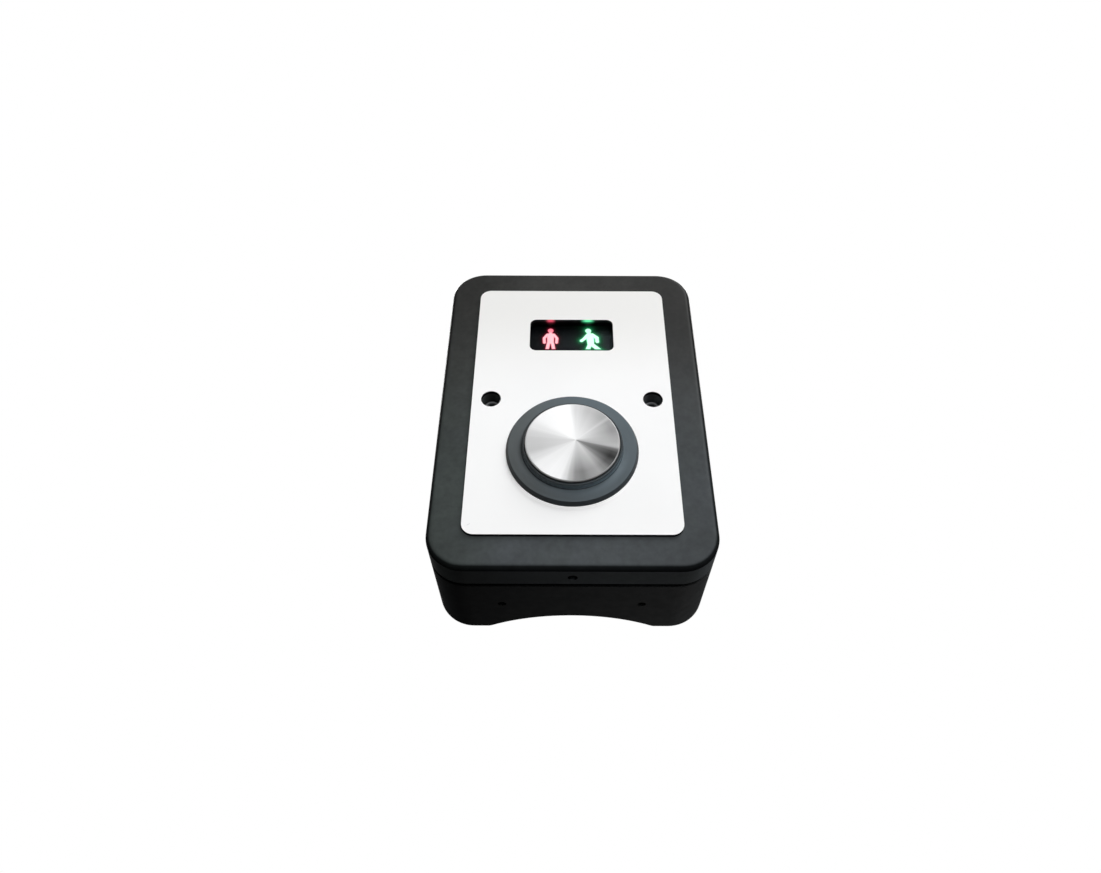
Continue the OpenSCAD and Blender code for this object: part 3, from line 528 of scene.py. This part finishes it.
# (turn round the centre, brightness near the middle, brightness near the rim): painted reflection of the room in the
# turned face
PAINTED_FANS = [(0.0, 0.71, 0.63), (0.045, 0.73, 0.59), (0.075, 0.81, 0.75), (0.11, 0.87, 0.91), (0.16, 0.89, 0.98), (0.195, 0.86, 0.96),
        (0.212, 0.81, 0.76), (0.23, 0.74, 0.46), (0.25, 0.69, 0.26), (0.275, 0.66, 0.21), (0.305, 0.66, 0.29), (0.333, 0.69, 0.33),
        (0.36, 0.60, 0.22), (0.388, 0.38, 0.08), (0.417, 0.25, 0.02), (0.44, 0.25, 0.05), (0.452, 0.29, 0.12), (0.47, 0.47, 0.46),
        (0.50, 0.61, 0.40), (0.55, 0.79, 0.31), (0.597, 0.86, 0.38), (0.611, 0.92, 0.53), (0.624, 0.90, 0.44), (0.69, 0.93, 0.57),
        (0.75, 0.96, 0.74), (0.762, 0.97, 0.84), (0.776, 1.0, 1.0), (0.86, 1.0, 1.0), (0.90, 1.0, 1.0), (0.94, 0.90, 0.88),
        (0.972, 0.79, 0.72), (1.0, 0.71, 0.63)]


def bezel_material():
    t = Tree("bezel_slate")
    dx, dz, r, ang = polar(t, BTN[0], BTN[1])
    big = t.noise(70.0, 3.0, 0.55)
    fine = t.noise(2400.0, 3.0, 0.65)
    ring = t.noise(1.0, 2.0, 0.5, vec=t.vec(t.m("MULTIPLY", r, 900.0), 0.0, 0.0))
    level = t.m("ADD", t.lin(big, 0.3, 0.7, 0.94, 1.06), t.lin(ring, 0.3, 0.7, -0.02, 0.02))
    nrm = t.bump(fine, 0.45, 0.000018)
    geo = t.new("ShaderNodeNewGeometry")
    ny = t.m("ABSOLUTE", t.xyz(geo.outputs["Normal"])[1])
    lip = t.m("LESS_THAN", r, 0.0262)
    # painted light on the lower side of the collar wall
    painted_collar_light = t.m("MULTIPLY", t.m("MULTIPLY", t.smooth(ny, 0.7, 0.15, 0.0, 1.0), lip), t.m("MULTIPLY", t.smooth(dz, 0.008, -0.005, 0.0, 1.0), t.lin(t.xyz()[1], -0.0562, -0.0540, 0.27, 0.85)))
    # painted shade on the top of the lip
    painted_lip_shade = t.m("MULTIPLY", t.smooth(ny, 0.2, 0.6, 0.0, 1.0), t.m("LESS_THAN", r, 0.0243))
    # painted shade on the outer rim of the flange
    painted_rim_shading = t.m("MULTIPLY", t.smooth(ny, 0.97, 0.72, 0.0, 1.0), t.m("GREATER_THAN", r, 0.0298))
    level = t.m("MULTIPLY", level, t.m("MULTIPLY", t.lin(painted_lip_shade, 0.0, 1.0, 1.0, 0.38), t.lin(painted_rim_shading, 0.0, 1.0, 1.0, 0.40)))
    # painted light towards the top of the bezel, painted shade towards the bottom
    level = t.m("MULTIPLY", level, t.m("MULTIPLY", t.lin(painted_collar_light, 0.0, 1.0, 1.0, 3.5), t.lin(dz, -0.03, 0.03, 0.84, 1.40)))
    # painted light filling the cast shadow below the collar
    painted_light_below_collar = t.m("MULTIPLY", t.smooth(r, 0.0290, 0.0250, 0.0, 1.0), t.smooth(dz, 0.0, -0.016, 0.0, 1.0))
    level = t.m("MULTIPLY", level, t.lin(painted_light_below_collar, 0.0, 1.0, 1.0, 1.58))
    # painted shade: the left side darker
    slate = t.mix(t.smooth(dx, -0.030, 0.010), (0.064, 0.073, 0.076), (0.068, 0.088, 0.101))
    return t.done(t.principled(Base_Color=t.scaled(slate, level), Roughness=t.lin(fine, 0.3, 0.7, 0.42, 0.52),
                               Specular_IOR_Level=0.2, Normal=nrm))


def screw_material():
    """Blackened steel with a painted highlight on the rim of the socket head."""
    t = Tree("steel_blackened")
    x, y, z = t.xyz()
    ax = t.m("SUBTRACT", t.m("ABSOLUTE", x), 0.0405)
    r = t.m("SQRT", t.m("ADD", t.m("MULTIPLY", ax, ax), t.m("MULTIPLY", z, z)))
    wear = t.noise(900.0, 3.0, 0.6)
    painted_rim_shading = t.m("MULTIPLY", t.smooth(t.m("ABSOLUTE", t.m("SUBTRACT", r, 0.0032)), 0.0002, 0.0006, 1.0, 0.0), t.smooth(y, -0.0434, -0.0440, 0.0, 1.0))
    painted_rim_shading = t.m("MULTIPLY", painted_rim_shading, t.lin(wear, 0.3, 0.7, 0.75, 1.0))
    return t.done(t.principled(Base_Color=t.mix(painted_rim_shading, (0.045, 0.047, 0.050), (0.23, 0.24, 0.25)), Roughness=t.lin(wear, 0.3, 0.7, 0.32, 0.44),
                               Specular_IOR_Level=0.4, Normal=t.bump(wear, 0.2, 0.00001)))


# ---------------------------------------------------------------- give every node its material
assign("front_cover", cover_material())
assign("face_plate", plate_material())
assign("rear_housing", moulded("housing_black", (0.0195, 0.0215, 0.0225), 0.50, mottle=0.10, spec=0.30, painted_side_shade=(0.3, 1.0)))
black_rubber = rubber("rubber_black")
assign(["housing_gasket", "window_gasket", "bezel_washer", "stem_seal", "cable_grommet"], black_rubber)
assign("window_lens", pane_material())
assign("pictogram_mask", mask_material())
assign("red_figure_lens", figure_material("figure_red", RED_LIMBS, RED_X, (0.84, 0.06, 0.14), (1.0, 0.63, 0.66), 0.60))
assign("green_figure_lens", figure_material("figure_green", GREEN_LIMBS, GREEN_X, (0.16, 1.0, 0.42), (0.88, 1.0, 0.96), 0.12))
assign("button_bezel", bezel_material())
assign("button_cap", cap_material())
assign("cover_screws", screw_material())
assign("lock_screw", metal("steel_black_oxide", (0.055, 0.055, 0.058), 0.30))
zinc = metal("steel_zinc", (0.62, 0.63, 0.64), 0.32)
assign(["light_box_screws", "bracket_screws", "switch_screws", "board_screws", "terminal_screws", "switch_bracket"], zinc)
spring_steel = metal("steel_spring", (0.55, 0.56, 0.58), 0.24)
assign(["return_spring", "retaining_clip", "switch_lever", "lever_pin"], spring_steel)
assign("bezel_nut", metal("alloy_cast", (0.50, 0.51, 0.53), 0.46))
assign(["threaded_inserts", "switch_terminals"], metal("brass_machined", (0.72, 0.50, 0.20), 0.28))
assign("light_box", moulded("reflector_white", (0.80, 0.81, 0.80), 0.55, mottle=0.03))
assign(["led_board", "control_board"], board("circuit_board"))
assign("red_leds", moulded("lamp_red", (0.75, 0.08, 0.08), 0.25, mottle=0.05))
assign("green_leds", moulded("lamp_green", (0.10, 0.75, 0.25), 0.25, mottle=0.05))
assign("button_plunger", moulded("acetal_natural", (0.74, 0.73, 0.68), 0.42, mottle=0.04))
assign("switch_body", moulded("switch_case", (0.022, 0.022, 0.025), 0.45))
assign("switch_button", moulded("switch_red", (0.42, 0.05, 0.04), 0.35, mottle=0.06))
assign("board_components", moulded("component_case", (0.028, 0.028, 0.032), 0.48))
assign("board_connectors", moulded("connector_cream", (0.76, 0.72, 0.60), 0.5, mottle=0.04))
assign("terminal_block", moulded("terminal_green", (0.07, 0.28, 0.11), 0.42, mottle=0.06))
assign("switch_leads", moulded("lead_red", (0.42, 0.035, 0.03), 0.35, mottle=0.08))
assign("led_leads", moulded("lead_blue", (0.03, 0.08, 0.36), 0.35, mottle=0.08))

for o in nodes.values():
    for p in o.data.polygons:
        p.use_smooth = True
    if "sharp_face" in o.data.attributes:
        o.data.attributes.remove(o.data.attributes["sharp_face"])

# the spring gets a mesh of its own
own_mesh(nodes["return_spring"])

# ---------------------------------------------------------------- camera
cam = bpy.data.cameras.new("camera")
cam_ob = bpy.data.objects.new("camera", cam)
scene.collection.objects.link(cam_ob)
yaw, pitch, roll = math.radians(0.192), math.radians(36.131), math.radians(0.095)
look = Vector((math.sin(yaw) * math.cos(pitch), math.cos(yaw) * math.cos(pitch), math.sin(pitch)))
level_x = Vector((math.cos(yaw), -math.sin(yaw), 0.0))
level_up = level_x.cross(look)
right = math.cos(roll) * level_x + math.sin(roll) * level_up
up = right.cross(look)
cam_ob.matrix_world = Matrix((
    (right.x, up.x, -look.x, -0.00497),
    (right.y, up.y, -look.y, -0.36362),
    (right.z, up.z, -look.z, -0.25143),
    (0, 0, 0, 1)))
cam.sensor_width = 36.0
cam.lens = 801.17 / 1101 * 36.0
cam.shift_x = -(564.09 - 550.5) / 1101
cam.shift_y = 0.0
cam.clip_start, cam.clip_end = 0.01, 50.0
scene.camera = cam_ob

# ---------------------------------------------------------------- floor, seen from above only
FLOOR_Z = CAD_BOX[0].z - 0.0004
me = bpy.data.meshes.new("floor")
S = 6.0
me.from_pydata([(-S, -S, FLOOR_Z), (S, -S, FLOOR_Z), (S, S, FLOOR_Z), (-S, S, FLOOR_Z)], [], [(0, 1, 2, 3)])
floor = bpy.data.objects.new("floor", me)
scene.collection.objects.link(floor)
t = Tree("floor_pale")
tr = t.new("ShaderNodeBsdfTransparent")
n = t.noise(9.0, 3.0, 0.5)
px, py, pz = t.xyz()
far = t.m("SQRT", t.m("ADD", t.m("MULTIPLY", px, px), t.m("MULTIPLY", py, py)))
cover = t.new("ShaderNodeBsdfDiffuse")
t.put(cover.inputs["Color"], t.scaled((0.30, 0.30, 0.30), t.lin(n, 0.3, 0.7, 0.99, 1.01)))
glow = t.new("ShaderNodeEmission")
t.put(glow.inputs["Strength"], t.smooth(far, 0.05, 0.9, 0.62, 1.0))
both = t.new("ShaderNodeAddShader")
t.nt.links.new(cover.outputs[0], both.inputs[0])
t.nt.links.new(glow.outputs[0], both.inputs[1])
plain = t.new("ShaderNodeEmission")
plain.inputs["Strength"].default_value = 1.0
fl = mix_shader(t, t.smooth(far, 0.35, 1.0), both.outputs[0], plain.outputs[0])
for ray in ("visible_diffuse", "visible_glossy", "visible_transmission", "visible_shadow"):
    setattr(floor, ray, False)
val = t.new("ShaderNodeValue")
drv = val.outputs[0].driver_add("default_value").driver
drv.type = "SUM"
var = drv.variables.new()
var.name = "h"
var.type = "TRANSFORMS"
var.targets[0].id = cam_ob
var.targets[0].transform_type = "LOC_Z"
var.targets[0].transform_space = "WORLD_SPACE"
above = t.m("GREATER_THAN", val.outputs[0], FLOOR_Z)
me.materials.append(t.done(mix_shader(t, above, tr.outputs[0], fl)))

# ---------------------------------------------------------------- studio light
world = bpy.data.worlds.new("studio")
scene.world = world
world.use_nodes = True
wt = world.node_tree
wt.nodes.clear()
wo = wt.nodes.new("ShaderNodeOutputWorld")


class WTree(Tree):
    def __init__(self, nt):
        self.nt = nt
        self.tc = nt.nodes.new("ShaderNodeTexCoord")
        self.obj = self.tc.outputs["Generated"]


w = WTree(wt)
x, y, z = w.xyz()
soft = w.smooth(z, -0.10, 0.60, 0.010, 0.24)                                        # room above
front = w.m("MULTIPLY", w.smooth(y, -0.60, -0.95, 0.0, 1.0), w.smooth(z, 0.02, 0.32, 0.0, 1.0))     # pale wall in front
table = w.m("MULTIPLY", w.smooth(y, 0.55, 0.85, 0.0, 1.0), w.smooth(z, 0.25, -0.30, 0.0, 1.0))      # pale sheet low behind
side = w.lin(x, -0.7, 0.7, 0.82, 1.18)
table = w.m("MULTIPLY", table, w.lin(x, -0.25, 0.25, 0.03, 0.17))
under = w.m("MULTIPLY", w.smooth(z, 0.05, -0.45, 0.0, 1.0), w.lin(x, -0.7, 0.7, 0.006, 0.055))          # glow of the table below
level = w.m("ADD", w.m("ADD", w.m("MULTIPLY", w.m("ADD", soft, w.m("MULTIPLY", front, 0.75)), side), table), under)
lp = wt.nodes.new("ShaderNodeLightPath")
strength = w.m("ADD", w.m("MULTIPLY", lp.outputs["Is Camera Ray"], 1.0), w.m("MULTIPLY", w.m("SUBTRACT", 1.0, lp.outputs["Is Camera Ray"]), level))
bg = wt.nodes.new("ShaderNodeBackground")
bg.inputs[0].default_value = (1, 1, 1, 1)
w.put(bg.inputs[1], strength)
wt.links.new(bg.outputs[0], wo.inputs[0])


def area(name, loc, target, w_, h_, power, col=(1, 1, 1)):
    l = bpy.data.lights.new(name, "AREA")
    l.shape = "RECTANGLE"
    l.size, l.size_y = w_, h_
    l.energy = power
    l.color = col
    o = bpy.data.objects.new(name, l)
    scene.collection.objects.link(o)
    o.location = loc
    o.rotation_mode = "QUATERNION"
    o.rotation_quaternion = (Vector(target) - Vector(loc)).to_track_quat("-Z", "Y")
    o.visible_camera = False
    return o


sun = bpy.data.lights.new("key", "SUN")
sun.energy = 2.0
sun.angle = math.radians(36)
sun_ob = bpy.data.objects.new("key", sun)
scene.collection.objects.link(sun_ob)
sun_ob.rotation_mode = "QUATERNION"
sun_ob.rotation_quaternion = Vector((-0.42, 0.50, -0.76)).to_track_quat("-Z", "Y")
fill = bpy.data.lights.new("fill", "SUN")
fill.energy = 1.04
fill.angle = math.radians(50)
fill_ob = bpy.data.objects.new("fill", fill)
scene.collection.objects.link(fill_ob)
fill_ob.rotation_mode = "QUATERNION"
fill_ob.rotation_quaternion = Vector((-0.22, 0.96, -0.06)).to_track_quat("-Z", "Y")
area("front_low", (0.25, -0.95, -0.02), (0, -0.05, -0.08), 0.5, 0.3, 1.6)
area("back_left", (-0.8, 0.8, 1.3), (0, 0, 0), 0.6, 0.6, 28.0)
area("back_right", (0.8, 0.8, 1.3), (0, 0, 0), 0.6, 0.6, 18.0)
